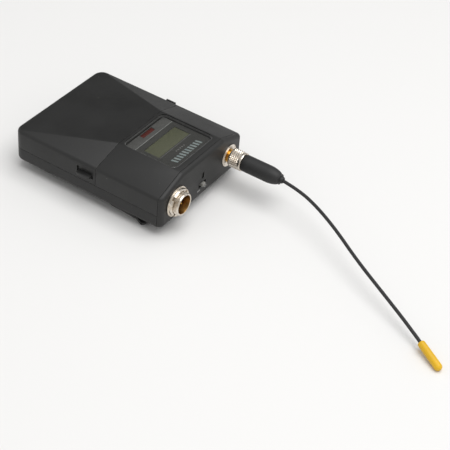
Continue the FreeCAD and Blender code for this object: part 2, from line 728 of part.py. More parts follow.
def cord_tube(route, radius):
    """Straight runs joined by tangent arcs, each arc as large as its runs allow."""
    edges = []
    here = route[0]
    for before, corner, after in zip(route, route[1:], route[2:]):
        back = (before - corner).normalize()
        ahead = (after - corner).normalize()
        half_turn = (math.pi - back.getAngle(ahead)) / 2
        reach = 0.45 * min((before - corner).Length, (after - corner).Length)
        bend = reach / math.tan(half_turn)
        inwards = (back + ahead).normalize()
        first = corner + back * reach
        last = corner + ahead * reach
        centre = corner + inwards * (bend / math.cos(half_turn))
        middle = centre - inwards * bend
        edges.append(Part.LineSegment(here, first).toShape())
        edges.append(Part.Arc(first, middle, last).toShape())
        print("whip arc radius %.1f mm, turn %.1f degrees" % (bend, math.degrees(2 * half_turn)))
        here = last
    edges.append(Part.LineSegment(here, route[-1]).toShape())
    path = Part.Wire(edges)
    circle = Part.Circle(route[0], route[1] - route[0], radius).toShape()
    tube = path.makePipeShell([Part.Wire([circle])], True, False)
    section = math.pi * radius * radius
    print("whip length %.1f mm, volume ratio %.4f" % (path.Length, tube.Volume / (section * path.Length)))
    return tube


def antenna_tip():
    """A moulded cap with a round end, lying on the table."""
    along = (WHIP_ROUTE[-1] - WHIP_ROUTE[-2]).normalize()
    bore_end = WHIP_ROUTE[-1]
    start = bore_end - along * TIP_BORE
    end = start + along * (TIP_LENGTH - TIP_R)
    cap = Part.makeCylinder(TIP_R, TIP_LENGTH - TIP_R, start, along)
    rim = [edge for edge in cap.Edges if (edge.CenterOfMass - start).Length < 0.01]
    cap = cap.makeFillet(0.3, rim).fuse(Part.makeSphere(TIP_R, end)).removeSplitter()
    print("tip lowest point %.2f mm above the table" % (cap.BoundBox.ZMin + BACK_LIFT))
    return cap.cut(Part.makeCylinder(WHIP_R, TIP_BORE, start, along))


# ---------------------------------------------------------------- connector panel controls

def switch_body():
    return box((33.8, 37.0), (-5.5, 5.5), (SWITCH_Z - 3.2, SWITCH_Z + 3.2))


def switch_knob():
    plate = box((37.2, 38.4), (-3.4, 3.4), (SWITCH_Z - 2, SWITCH_Z + 2))
    lever = box((38.0, CONNECTOR_END + 1.1), (-1.0, 1.0), (SWITCH_Z - 1.0, SWITCH_Z + 1.0))
    tip = [edge for edge in lever.Edges if abs(edge.CenterOfMass.x - CONNECTOR_END - 1.1) < 0.01]
    return plate.fuse(lever.makeFillet(0.35, tip)).removeSplitter()


def status_light():
    return box((38.2, CONNECTOR_END - 0.5), (-0.8, 0.8), (LIGHT_Z - 1.5, LIGHT_Z + 1.5))


# ---------------------------------------------------------------- belt clip

CLIP_SCREWS = [(-25.6, 9.0), (-25.6, -9.0)]
CLIP_EAR_Y = (13.2, 16.0)
CLIP_BARREL_Y = (4.3, 12.9)


def strip(points, thickness):
    """The side view of a bent sheet, as a closed outline about its middle line."""
    upper = []
    lower = []
    for index, point in enumerate(points):
        before = points[max(index - 1, 0)]
        after = points[min(index + 1, len(points) - 1)]
        first = (point - before).normalize() if index > 0 else (after - point).normalize()
        second = (after - point).normalize() if index < len(points) - 1 else first
        bisector = (first + second).normalize()
        normal = Vector(-bisector.z, 0, bisector.x)
        reach = thickness / 2 / bisector.dot(first)
        upper.append(point + normal * reach)
        lower.append(point - normal * reach)
    return upper + lower[::-1]


def belt_clip():
    lip = Vector(28.7, 0, -BACK_LIFT + BEAD_R)
    middle = [
        Vector(CLIP_AXIS_X, 0, -1.2),
        Vector(8.0, 0, -1.35),
        Vector(26.2, 0, -2.3),
        lip,
        Vector(31.0, 0, -3.3),
    ]
    outline = [point + Vector(0, -CLIP_PADDLE_HALF, 0) for point in strip(middle, CLIP_THICK)]
    sheet = prism(outline, Vector(0, 2 * CLIP_PADDLE_HALF, 0))
    tongue = box((CLIP_AXIS_X, 14), (-CLIP_TONGUE_HALF, CLIP_TONGUE_HALF), (-6, 1))
    paddle = rounded_box(CLIP_PADDLE_X, (-CLIP_PADDLE_HALF, CLIP_PADDLE_HALF), (-8, 2), 2.5)
    sheet = sheet.common(tongue.fuse(paddle))
    bead_half = CLIP_PADDLE_HALF - 0.6
    bead = rod_y(BEAD_R, (-bead_half, bead_half), lip.x, lip.z)
    parts = [sheet, bead]
    parts += both_sides(rod_y(CLIP_BARREL_R, CLIP_BARREL_Y, CLIP_AXIS_X, CLIP_AXIS_Z))
    clip = fused(parts)
    spring_room = (-CLIP_BARREL_Y[0], CLIP_BARREL_Y[0])
    clip = clip.cut(box((CLIP_AXIS_X - 3, CLIP_AXIS_X + 2.6), spring_room, (-5, 0)))
    return clip.cut(rod_y(CLIP_PIN_R + RUNNING_FIT, (-20, 20), CLIP_AXIS_X, CLIP_AXIS_Z))


def clip_bracket():
    base = box((-28.4, -22.8), (-CLIP_EAR_Y[1], CLIP_EAR_Y[1]), (-1.2, 0))
    ear_low = CLIP_AXIS_Z - 1.9
    ear = box((-28.4, CLIP_AXIS_X), CLIP_EAR_Y, (ear_low, 0))
    ear = ear.fuse(rod_y(1.9, CLIP_EAR_Y, CLIP_AXIS_X, CLIP_AXIS_Z))
    ear = ear.fuse(box((CLIP_AXIS_X, CLIP_AXIS_X + 1.9), CLIP_EAR_Y, (CLIP_AXIS_Z, 0)))
    slope = prism([Vector(-29, 12, -1.6), Vector(-29, 12, -6), Vector(-23, 12, -6)], Vector(0, 6, 0))
    ears = both_sides(ear.cut(slope))
    bracket = fused([base] + ears)
    bracket = bracket.cut(rod_y(CLIP_PIN_R, (-20, 20), CLIP_AXIS_X, CLIP_AXIS_Z))
    for x, y in CLIP_SCREWS:
        bracket = bracket.cut(rod_z(SCREW_SHANK_R, (-3, 1), x, y))
    return bracket


def clip_pin():
    return rod_y(CLIP_PIN_R, (-CLIP_EAR_Y[1], CLIP_EAR_Y[1]), CLIP_AXIS_X, CLIP_AXIS_Z)


def clip_spring():
    wire = 0.35
    coils = []
    for turn in range(8):
        y = -3.3 + turn * 6.6 / 7
        coils.append(Part.makeTorus(1.3, wire, Vector(CLIP_AXIS_X, y, CLIP_AXIS_Z), Y_AXIS))
    return coils


def clip_screws():
    screws = []
    for x, y in CLIP_SCREWS:
        head = rod_z(1.7, (-2.1, -1.2), x, y)
        screw = head.fuse(rod_z(SCREW_SHANK_R, (-1.5, 3.4), x, y)).removeSplitter()
        screws.append(cross_recess(screw, x, y, -2.1))
    return screws


def cross_recess(screw, x, y, face_z):
    depth = (face_z - 1, face_z + 0.5)
    screw = screw.cut(box((x - 0.22, x + 0.22), (y - 1.0, y + 1.0), depth))
    return screw.cut(box((x - 1.0, x + 1.0), (y - 0.22, y + 0.22), depth))


def case_screws():
    screws = []
    for x, y in SCREW_POSTS:
        head = rod_z(SCREW_HEAD_R, (0.2, 1.4), x, y)
        screw = head.fuse(rod_z(SCREW_SHANK_R, (1.0, 13.0), x, y)).removeSplitter()
        screws += both_sides(cross_recess(screw, x, y, 0.2))
    return screws


# ---------------------------------------------------------------- export

def export(name, shape):
    solids = shape if isinstance(shape, list) else [shape]
    body = Part.makeCompound(solids) if len(solids) > 1 else solids[0]
    body = body.copy()
    body.translate(FRAME_SHIFT)
    if not body.isValid():
        print("invalid shape:", name)
    body.exportStep("parts/" + name + ".step")
    print("%-18s %2d solids %9.2f mm3" % (name, len(body.Solids), body.Volume))


def main():
    os.makedirs("parts", exist_ok=True)
    case = rounded_case()
    hollow = envelope(SIDE_WALL, TOP_WALL, FLOOR_WALL)
    near_latch = both_sides(door_latch())[1]
    whip = cord_tube(WHIP_ROUTE, WHIP_R)
    pieces = {
        "back_shell": back_shell(case, hollow),
        "front_cover": front_cover(case, hollow),
        "end_panel": end_panel(case),
        "battery_door": battery_door(case, hollow),
        "door_hinge_pins": door_hinge_pins(),
        "door_latch_near": near_latch,
        "door_latch_far": far_latch(),
        "latch_pins": latch_pins(),
        "door_pad": door_pad(hollow),
        "battery_case": battery_case(),
        "battery_studs": battery_studs(),
        "contact_block": contact_block(),
        "contact_springs": contact_springs(),
        "control_deck": control_deck(),
        "key_switches": key_switches(),
        "trimmer_base": trimmer_base(),
        "gain_trimmer": gain_trimmer(),
        "display_window": display_window(),
        "display_mask": display_mask(),
        "indicator_window": indicator_window(),
        "lcd_glass": lcd_glass(),
        "lcd_holder": lcd_holder(),
        "display_board": display_board(),
        "main_board": main_board(),
        "board_screws": board_screws(),
        "rf_shield": rf_shield(),
        "board_chips": board_chips(),
        "audio_socket": audio_socket(),
        "socket_nut": socket_nut(),
        "socket_insulator": socket_insulator(),
        "socket_pins": socket_pins(),
        "antenna_jack": antenna_jack(),
        "jack_ring": jack_ring(),
        "jack_insulator": jack_insulator(),
        "jack_contact": jack_contact(),
        "antenna_nut": antenna_nut(),
        "antenna_ferrule": antenna_ferrule(),
        "antenna_pin": antenna_pin(),
        "antenna_boot": antenna_boot(),
        "antenna_whip": whip,
        "antenna_tip": antenna_tip(),
        "switch_body": switch_body(),
        "switch_knob": switch_knob(),
        "status_light": status_light(),
        "clip_bracket": clip_bracket(),
        "belt_clip": belt_clip(),
        "clip_pin": clip_pin(),
        "clip_spring": clip_spring(),
        "clip_screws": clip_screws(),
        "case_screws": case_screws(),
    }
    for name, y in BUTTONS.items():
        pieces[name] = push_button(y)
    for name, shape in pieces.items():
        export(name, shape)
    print("frame shift", FRAME_SHIFT)


main()
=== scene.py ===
"""Wireless bodypack transmitter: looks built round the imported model, in metres."""

import math

import bpy
import bmesh
from mathutils import Matrix, Vector


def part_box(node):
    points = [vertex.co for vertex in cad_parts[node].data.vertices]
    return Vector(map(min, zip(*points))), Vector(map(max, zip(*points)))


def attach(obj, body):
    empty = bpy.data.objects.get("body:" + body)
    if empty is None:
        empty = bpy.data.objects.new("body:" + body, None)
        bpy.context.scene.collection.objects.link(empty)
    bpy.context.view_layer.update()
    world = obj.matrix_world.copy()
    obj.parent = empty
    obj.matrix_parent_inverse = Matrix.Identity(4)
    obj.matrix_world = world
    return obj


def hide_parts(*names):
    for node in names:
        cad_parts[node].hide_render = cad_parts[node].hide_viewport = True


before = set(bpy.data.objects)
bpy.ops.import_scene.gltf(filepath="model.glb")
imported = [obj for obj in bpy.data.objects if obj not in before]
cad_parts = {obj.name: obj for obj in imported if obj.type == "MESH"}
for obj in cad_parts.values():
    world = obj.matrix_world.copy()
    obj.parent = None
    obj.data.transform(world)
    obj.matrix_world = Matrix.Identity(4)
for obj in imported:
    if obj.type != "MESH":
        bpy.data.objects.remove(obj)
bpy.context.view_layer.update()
bpy.ops.object.select_all(action="DESELECT")

MM = 0.001
CASE_ORIGIN = Vector((-3.85, 0.0, 4.8))     # where the case's own zero lies, in mm

# Places and sizes below are in the case's own millimetres.
BATTERY_END = -43.5
SEAM_SIDE = 4.4             # where the battery door meets the front cover, at the sides
END_SEAM = 39.2             # where the connector panel begins
PANEL_FACE = 41.5           # the outside of the connector panel
SPLIT = 7.4                 # height of the line between the back shell and the covers
PANEL_HEIGHT = 22.8         # the flat centre of the roof
EDGE_HEIGHT = 17.0          # the roof along the sides and the battery end
PANEL_HALF = 16.4           # half width of the flat centre
SHOULDER_SLOPE = 0.354      # how fast the roof falls to the sides
DOOR_SLOPE = 0.119          # and to the battery end
SOCKET = (-21.2, 10.6)      # the audio socket's axis: across, up
JACK = (21.2, 11.3)         # the antenna's axis: across, up
BOOT_END = 72.0             # where the whip leaves its rubber boot


def at(x, y, z):
    """A point in the case's own millimetres: x along it, y across it, z up from its back."""
    return (Vector((x, y, z)) + CASE_ORIGIN) * MM


def case_box(node):
    """The lowest and highest corner of a CAD node, in the case's own millimetres."""
    return [corner / MM - CASE_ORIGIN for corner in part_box(node)]


def middle_of(node):
    """The middle of a CAD node's box, in metres."""
    return sum(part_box(node), Vector()) / 2


def add(name, data):
    """A new object that holds this data, linked to the scene."""
    made = bpy.data.objects.new(name, data)
    bpy.context.scene.collection.objects.link(made)
    return made


# ------------------------------------------------------------------ camera, light, floor

AZIMUTH, ELEVATION, ROLL = (math.radians(a) for a in (30.37, 39.96, 5.50))
EYE = (0.0425, -0.0251, 0.6601)     # along the camera's own right, up and back
LENS = 110.8                        # in mm, on a sensor 36 mm wide
FLAG = Vector((-0.70, 0.60, 0.36)).normalized()     # towards the middle of the dark flag
MIX_FIRST, MIX_SECOND, MIX_RESULT = 6, 7, 2         # the colour sockets of a Mix node


def place_camera():
    """A long lens high over the connector end, rolled a little."""
    back = Vector((
        math.sin(AZIMUTH) * math.cos(ELEVATION),
        -math.cos(AZIMUTH) * math.cos(ELEVATION),
        math.sin(ELEVATION),
    ))
    level_right = Vector((math.cos(AZIMUTH), math.sin(AZIMUTH), 0.0))
    level_up = back.cross(level_right)
    right = level_right * math.cos(ROLL) + level_up * math.sin(ROLL)
    up = level_up * math.cos(ROLL) - level_right * math.sin(ROLL)
    data = bpy.data.cameras.new("camera")
    data.sensor_width = 36.0
    data.lens = LENS
    data.clip_start = 0.05
    data.clip_end = 50.0
    camera = add("camera", data)
    turn = Matrix((right, up, back)).transposed()
    eye = right * EYE[0] + up * EYE[1] + back * EYE[2]
    camera.matrix_world = Matrix.Translation(eye) @ turn.to_4x4()
    bpy.context.scene.camera = camera


def softbox(name, place, target, size, power):
    data = bpy.data.lights.new(name, "AREA")
    data.shape = "RECTANGLE"
    data.size, data.size_y = size
    data.energy = power
    light = add(name, data)
    aim = Vector(target) - Vector(place)
    light.rotation_euler = aim.to_track_quat("-Z", "Y").to_euler()
    light.location = place


def shade(ramp, stops):
    """Sets the stops of a colour ramp to grey levels or colours."""
    band = ramp.color_ramp
    while len(band.elements) < len(stops):
        band.elements.new(0.5)
    for element, (place, level) in zip(band.elements, stops):
        element.position = place
        colour = level if isinstance(level, tuple) else (level,) * 3
        element.color = (*colour, 1.0)


def studio():
    """A pale tent with a soft dark flag low behind the battery end, and one softbox overhead."""
    world = bpy.data.worlds.new("studio")
    bpy.context.scene.world = world
    world.use_nodes = True
    nodes, links = world.node_tree.nodes, world.node_tree.links
    background = nodes["Background"]
    coords = nodes.new("ShaderNodeTexCoord")
    split = nodes.new("ShaderNodeSeparateXYZ")
    links.new(coords.outputs["Generated"], split.inputs[0])
    height = nodes.new("ShaderNodeValToRGB")
    links.new(split.outputs["Z"], height.inputs["Fac"])
    shade(height, [(0.0, 0.56), (0.25, 0.62), (0.55, 0.66), (0.8, 0.60), (1.0, 0.55)])
    towards = nodes.new("ShaderNodeVectorMath")
    towards.operation = "DOT_PRODUCT"
    links.new(coords.outputs["Generated"], towards.inputs[0])
    towards.inputs[1].default_value = FLAG
    flag = nodes.new("ShaderNodeValToRGB")
    links.new(towards.outputs["Value"], flag.inputs["Fac"])
    flag.color_ramp.interpolation = "EASE"
    shade(flag, [(0.86, 1.0), (0.97, 0.16)])
    both = nodes.new("ShaderNodeMix")
    both.data_type = "RGBA"
    both.blend_type = "MULTIPLY"
    both.inputs["Factor"].default_value = 1.0
    links.new(height.outputs["Color"], both.inputs[MIX_FIRST])
    links.new(flag.outputs["Color"], both.inputs[MIX_SECOND])
    links.new(both.outputs[MIX_RESULT], background.inputs["Color"])
    softbox(
        "overhead", place=(0.30, 0.02, 1.05), target=(0.0, 0.0, 0.0), size=(1.0, 1.0), power=10.2,
    )
    bpy.context.scene.view_settings.view_transform = "Standard"


def floor():
    """A matt pale sheet, twelve metres each way, under the clip."""
    bpy.ops.mesh.primitive_plane_add(size=12.0, location=(0.0, 0.0, 0.0))
    sheet = bpy.context.object
    sheet.name = "floor"
    material = bpy.data.materials.new("pale_floor")
    material.use_nodes = True
    surface = material.node_tree.nodes["Principled BSDF"]
    surface.inputs["Base Color"].default_value = (0.765, 0.76, 0.75, 1.0)
    surface.inputs["Roughness"].default_value = 0.75
    sheet.data.materials.append(material)


# ------------------------------------------------------------------ shared effects

def effect_group(name, amount, value, *outputs):
    """A node group that reads a place and one amount and gives plain numbers: the group's nodes
    and links, its start and its end."""
    group = bpy.data.node_groups.new(name, "ShaderNodeTree")
    face = group.interface
    face.new_socket(name="Place", in_out="INPUT", socket_type="NodeSocketVector")
    size = face.new_socket(name=amount, in_out="INPUT", socket_type="NodeSocketFloat")
    size.default_value = value
    for output in outputs:
        face.new_socket(name=output, in_out="OUTPUT", socket_type="NodeSocketFloat")
    nodes = group.nodes
    return group, nodes, group.links, nodes.new("NodeGroupInput"), nodes.new("NodeGroupOutput")


def maths(nodes, links, action, first, second, clamp=False):
    """A Math node; each input is a socket or a number."""
    node = nodes.new("ShaderNodeMath")
    node.operation = action
    node.use_clamp = clamp
    for place, value in enumerate((first, second)):
        if isinstance(value, (int, float)):
            node.inputs[place].default_value = value
        else:
            links.new(value, node.inputs[place])
    return node.outputs[0]


def noise(nodes, links, place, scale, detail):
    """A noise pattern read at place, so many waves to the metre."""
    node = nodes.new("ShaderNodeTexNoise")
    node.inputs["Scale"].default_value = scale
    node.inputs["Detail"].default_value = detail
    links.new(place, node.inputs["Vector"])
    return node.outputs["Fac"]


def moulded_grain():
    """Fine spark-eroded texture of a moulded case, with slow patches in its gloss."""
    scale = "Grains per metre"
    group, nodes, links, start, end = effect_group(
        "moulded_grain", scale, 3200.0, "Height", "Patches",
    )
    pits = nodes.new("ShaderNodeTexNoise")
    pits.inputs["Detail"].default_value = 3.0
    pits.inputs["Roughness"].default_value = 0.6
    cells = nodes.new("ShaderNodeTexVoronoi")
    for texture in (pits, cells):
        links.new(start.outputs["Place"], texture.inputs["Vector"])
        links.new(start.outputs[scale], texture.inputs["Scale"])
    height = maths(nodes, links, "MULTIPLY_ADD", cells.outputs["Distance"], 0.6)
    links.new(pits.outputs["Fac"], height.node.inputs[2])
    links.new(height, end.inputs["Height"])
    links.new(noise(nodes, links, start.outputs["Place"], 45.0, 4.0), end.inputs["Patches"])
    return group


def worn_edges():
    """Where an outside edge is rubbed: 1 on the edge, 0 on open faces, broken up along it."""
    group, nodes, links, start, end = effect_group("worn_edges", "Reach", 0.0006, "Rub")
    bevel = nodes.new("ShaderNodeBevel")
    bevel.samples = 4
    links.new(start.outputs["Reach"], bevel.inputs["Radius"])
    here = nodes.new("ShaderNodeNewGeometry")
    dot = nodes.new("ShaderNodeVectorMath")
    dot.operation = "DOT_PRODUCT"
    links.new(bevel.outputs["Normal"], dot.inputs[0])
    links.new(here.outputs["Normal"], dot.inputs[1])
    bent = maths(nodes, links, "SUBTRACT", 1.0, dot.outputs["Value"])
    strong = maths(nodes, links, "MULTIPLY", bent, 9.0, clamp=True)
    breaks = noise(nodes, links, start.outputs["Place"], 420.0, 3.0)
    uneven = maths(nodes, links, "SUBTRACT", breaks, 0.38)
    uneven = maths(nodes, links, "MULTIPLY", uneven, 3.4, clamp=True)
    links.new(maths(nodes, links, "MULTIPLY", strong, uneven), end.inputs["Rub"])
    return group


def dust():
    """Sparse specks: 1 on a speck."""
    speck_size, rarity = 0.07, 0.93
    scale = "Specks per metre"
    group, nodes, links, start, end = effect_group("dust", scale, 420.0, "Speck")
    cells = nodes.new("ShaderNodeTexVoronoi")
    links.new(start.outputs["Place"], cells.inputs["Vector"])
    links.new(start.outputs[scale], cells.inputs["Scale"])
    near = maths(nodes, links, "LESS_THAN", cells.outputs["Distance"], speck_size)
    split = nodes.new("ShaderNodeSeparateColor")
    links.new(cells.outputs["Color"], split.inputs[0])
    few = maths(nodes, links, "GREATER_THAN", split.outputs[0], rarity)
    links.new(maths(nodes, links, "MULTIPLY", near, few), end.inputs["Speck"])
    return group


def turned_rings():
    """Tool marks left by a lathe whose axis is local X."""
    scale = "Rings per metre"
    group, nodes, links, start, end = effect_group(
        "turned_rings", scale, 9000.0, "Height", "Stain",
    )
    split = nodes.new("ShaderNodeSeparateXYZ")
    links.new(start.outputs["Place"], split.inputs[0])
    flat = nodes.new("ShaderNodeCombineXYZ")
    links.new(split.outputs["Y"], flat.inputs["Y"])
    links.new(split.outputs["Z"], flat.inputs["Z"])
    radius = nodes.new("ShaderNodeVectorMath")
    radius.operation = "LENGTH"
    links.new(flat.outputs[0], radius.inputs[0])
    along = maths(nodes, links, "ADD", radius.outputs["Value"], split.outputs["X"])
    rows = maths(nodes, links, "MULTIPLY", along, start.outputs[scale])
    ripple = nodes.new("ShaderNodeTexNoise")
    ripple.noise_dimensions = "1D"
    ripple.inputs["Scale"].default_value = 1.0
    ripple.inputs["Detail"].default_value = 2.0
    links.new(rows, ripple.inputs["W"])
    links.new(ripple.outputs["Fac"], end.inputs["Height"])
    links.new(noise(nodes, links, start.outputs["Place"], 260.0, 4.0), end.inputs["Stain"])
    return group


GRAIN, EDGES, DUST, RINGS = moulded_grain(), worn_edges(), dust(), turned_rings()


# ------------------------------------------------------------------ finishes

class Finish:
    """A material being made: its node tree and the shader it ends in."""

    def __init__(self, name, colour, roughness, metallic=0.0):
        self.material = bpy.data.materials.new(name)
        self.material.use_nodes = True
        self.nodes = self.material.node_tree.nodes
        self.links = self.material.node_tree.links
        self.surface = self.nodes["Principled BSDF"]
        self.set("Base Color", (*colour, 1.0))
        self.set("Roughness", roughness)
        self.set("Metallic", metallic)
        self.coords = self.nodes.new("ShaderNodeTexCoord").outputs["Object"]

    def set(self, name, value):
        self.surface.inputs[name].default_value = value

    def feed(self, name, output):
        self.links.new(output, self.surface.inputs[name])

    def effect(self, group, place=None, **values):
        """Places a shared effect; its inputs are named with underscores for spaces."""
        node = self.nodes.new("ShaderNodeGroup")
        node.node_tree = group
        self.links.new(place or self.coords, node.inputs["Place"])
        for name, value in values.items():
            node.inputs[name.replace("_", " ")].default_value = value
        return node

    def centred(self, centre):
        """Object coordinates measured from centre."""
        node = self.nodes.new("ShaderNodeMapping")
        node.inputs["Location"].default_value = [-c for c in centre]
        self.links.new(self.coords, node.inputs["Vector"])
        return node.outputs["Vector"]

    def between(self, mask, first, second, low, high):
        """A colour or number that runs from first to second as the mask runs from low to high."""
        node = self.nodes.new("ShaderNodeValToRGB")
        shade(node, [(low, first), (high, second)])
        self.links.new(mask, node.inputs["Fac"])
        return node.outputs["Color"]

    def over(self, mask, under, colour):
        """Lays a colour over another one where the mask is 1."""
        node = self.nodes.new("ShaderNodeMix")
        node.data_type = "RGBA"
        self.links.new(mask, node.inputs["Factor"])
        self.links.new(under, node.inputs[MIX_FIRST])
        node.inputs[MIX_SECOND].default_value = (*colour, 1.0)
        return node.outputs[MIX_RESULT]

    def bump(self, height, distance):
        node = self.nodes.new("ShaderNodeBump")
        node.inputs["Distance"].default_value = distance
        self.links.new(height, node.inputs["Height"])
        return node.outputs["Normal"]


def moulded(name, colour, worn, roughness=(0.42, 0.56), grains=3200.0, depth=0.00002):
    """Textured plastic: grain, soft patches of gloss, rubbed edges and a little dust."""
    finish = Finish(name, colour, roughness[0])
    grain = finish.effect(GRAIN, Grains_per_metre=grains)
    edge = finish.effect(EDGES)
    speck = finish.effect(DUST)
    finish.set("Specular IOR Level", 0.44)
    deep = tuple(c * 0.82 for c in colour)
    tone = finish.between(grain.outputs["Patches"], deep, colour, 0.3, 0.7)
    tone = finish.over(edge.outputs["Rub"], tone, worn)
    tone = finish.over(speck.outputs["Speck"], tone, (0.16, 0.155, 0.145))
    finish.feed("Base Color", tone)
    finish.feed("Roughness", finish.between(grain.outputs["Patches"], *roughness, 0.3, 0.7))
    finish.feed("Normal", finish.bump(grain.outputs["Height"], depth))
    return finish.material


def plated(name, colour, stained, centre, roughness=(0.16, 0.34)):
    """Plated metal turned on a lathe along X, with soft stains."""
    finish = Finish(name, colour, roughness[0], 1.0)
    marks = finish.effect(RINGS, finish.centred(centre))
    finish.feed("Base Color", finish.between(marks.outputs["Stain"], colour, stained, 0.42, 0.72))
    finish.feed("Roughness", finish.between(marks.outputs["Stain"], *roughness, 0.35, 0.7))
    finish.feed("Normal", finish.bump(marks.outputs["Height"], 0.000004))
    return finish.material


def window_clear(name, tint):
    """Clear acrylic with a polished face: what lies under it shows, darkened by its tint."""
    polished, smeared = 0.03, 0.14
    material = bpy.data.materials.new(name)
    material.use_nodes = True
    nodes, links = material.node_tree.nodes, material.node_tree.links
    nodes.remove(nodes["Principled BSDF"])
    through = nodes.new("ShaderNodeBsdfTransparent")
    through.inputs["Color"].default_value = (*tint, 1.0)
    gloss = nodes.new("ShaderNodeBsdfGlossy")
    gloss.inputs["Roughness"].default_value = polished
    coords = nodes.new("ShaderNodeTexCoord")
    spread = nodes.new("ShaderNodeValToRGB")
    shade(spread, [(0.35, polished), (0.8, smeared)])
    links.new(noise(nodes, links, coords.outputs["Object"], 60.0, 5.0), spread.inputs["Fac"])
    links.new(spread.outputs["Color"], gloss.inputs["Roughness"])
    fresnel = nodes.new("ShaderNodeFresnel")
    fresnel.inputs["IOR"].default_value = 1.49
    side = nodes.new("ShaderNodeNewGeometry")
    front = maths(nodes, links, "SUBTRACT", 1.0, side.outputs["Backfacing"])
    amount = maths(nodes, links, "MULTIPLY", fresnel.outputs["Fac"], front)
    mix = nodes.new("ShaderNodeMixShader")
    links.new(amount, mix.inputs["Fac"])
    links.new(through.outputs[0], mix.inputs[1])
    links.new(gloss.outputs[0], mix.inputs[2])
    links.new(mix.outputs[0], nodes["Material Output"].inputs["Surface"])
    return material


# Each moulded finish: its name, its colour, and the colour of its rubbed edges.
CASE_BLACK = moulded("case_black", (0.0135, 0.0135, 0.013), (0.035, 0.035, 0.033))
PANEL_BLACK = moulded("panel_black", (0.013, 0.013, 0.0125), (0.035, 0.035, 0.033))
RUBBER_BLACK = moulded(
    "rubber_black", (0.017, 0.017, 0.017), (0.03, 0.03, 0.03), roughness=(0.5, 0.62), grains=2400.0,
)
CLIP_BLACK = moulded(
    "clip_black", (0.018, 0.018, 0.018), (0.09, 0.085, 0.08), roughness=(0.34, 0.48), grains=1800.0,
)
BOARD_GREEN = moulded("board_green", (0.02, 0.12, 0.05), (0.1, 0.2, 0.1))
CHIP_BLACK = moulded("chip_black", (0.03, 0.03, 0.032), (0.08, 0.08, 0.08))
WHITE_PLASTIC = moulded("white_plastic", (0.62, 0.61, 0.58), (0.7, 0.7, 0.68))
FOAM = moulded(
    "foam_pad", (0.05, 0.05, 0.052), (0.07, 0.07, 0.07),
    roughness=(0.8, 0.95), grains=1500.0, depth=0.0001,
)
BATTERY_JACKET = moulded("battery_jacket", (0.10, 0.10, 0.11), (0.2, 0.2, 0.2), (0.3, 0.4))
PTFE = moulded("ptfe_white", (0.75, 0.74, 0.70), (0.8, 0.8, 0.78))
AMBER = moulded("amber_insulator", (0.10, 0.055, 0.015), (0.2, 0.1, 0.03), (0.3, 0.45))
YELLOW = moulded(
    "yellow_cap", (0.80, 0.47, 0.01), (0.9, 0.6, 0.05), roughness=(0.4, 0.55), grains=1500.0,
)
LCD = moulded("lcd_face", (0.155, 0.163, 0.105), (0.2, 0.2, 0.13), (0.2, 0.3))
RED = moulded("red_window", (0.15, 0.018, 0.012), (0.15, 0.03, 0.02), (0.25, 0.35))
PRINT_GREY = moulded("printed_grey", (0.40, 0.42, 0.42), (0.45, 0.45, 0.45))
PRINT_BLUE = moulded("printed_blue_grey", (0.34, 0.42, 0.44), (0.4, 0.45, 0.45))
PRINT_DIM = moulded("printed_dim", (0.22, 0.22, 0.215), (0.25, 0.25, 0.25))
MASK_GREY = moulded("mask_grey", (0.072, 0.072, 0.07), (0.1, 0.1, 0.1))
# grey print of the band, also the painted light outline of the frame round the lens
STRIP_PRINT_AND_RIM_LIGHT = moulded("strip_print_and_rim_light_grey", (0.135, 0.135, 0.133), (0.13, 0.13, 0.13))
# painted highlight: light grey on the lens's rim, for the light its edge catches
RIM_HIGHLIGHT_GREY = moulded("painted_rim_highlight", (0.10, 0.10, 0.10), (0.16, 0.16, 0.16), (0.18, 0.26))
# painted highlight: the slide knob's light grey stands in for light on its top end
KNOB_HIGHLIGHT_GREY = moulded("knob_painted_highlight_grey", (0.20, 0.195, 0.18), (0.3, 0.3, 0.28))
SMOKED = window_clear("smoked_acrylic", (0.85, 0.85, 0.84))

# Each plated finish: its name, its colour, its stains, and the point its rings run round.
SOCKET_MIDDLE, JACK_MIDDLE = middle_of("socket_nut"), middle_of("jack_ring")
NICKEL = plated("nickel_plate", (0.74, 0.68, 0.60), (0.52, 0.44, 0.34), SOCKET_MIDDLE)
NUT_NICKEL = plated("antenna_nickel", (0.76, 0.70, 0.62), (0.55, 0.47, 0.38), JACK_MIDDLE)
GOLD = plated("gold_plate", (0.80, 0.50, 0.12), (0.62, 0.33, 0.06), JACK_MIDDLE)
STEEL = plated("steel", (0.56, 0.56, 0.55), (0.4, 0.4, 0.4), (0, 0, 0))
BORE = plated("socket_bore", (0.36, 0.21, 0.07), (0.16, 0.08, 0.02), SOCKET_MIDDLE, (0.3, 0.5))

BY_SLOT = {
    "case_plastic": CASE_BLACK, "window_acrylic": CASE_BLACK, "mask_black": MASK_GREY,
    "indicator_red": RED, "lcd_glass": LCD, "white_plastic": WHITE_PLASTIC,
    "circuit_board": BOARD_GREEN, "tinned_steel": STEEL, "chip_black": CHIP_BLACK,
    "nickel": NICKEL, "gold": GOLD, "ptfe": PTFE, "insulator_amber": AMBER,
    "boot_rubber": RUBBER_BLACK, "whip_jacket": RUBBER_BLACK, "tip_yellow": YELLOW,
    "steel": STEEL, "clip_metal": CLIP_BLACK, "foam": FOAM,
    "battery_jacket": BATTERY_JACKET, "black_screw": CLIP_BLACK,
}


def finish_nodes():
    """Every CAD node that stays gets the finish of its material slot."""
    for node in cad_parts.values():
        for place, old in enumerate(node.material_slots):
            name = old.material.name if old.material else ""
            node.material_slots[place].material = BY_SLOT.get(name.split(".")[0], CASE_BLACK)


# ------------------------------------------------------------------ shaping helpers

POINT = 0.001       # mm: the radius a turned end is drawn in to before it is merged


def object_mode():
    if bpy.context.object and bpy.context.object.mode != "OBJECT":
        bpy.ops.object.mode_set(mode="OBJECT")


def clear():
    object_mode()
    bpy.ops.object.select_all(action="DESELECT")


def pick(piece):
    clear()
    piece.select_set(True)
    bpy.context.view_layer.objects.active = piece


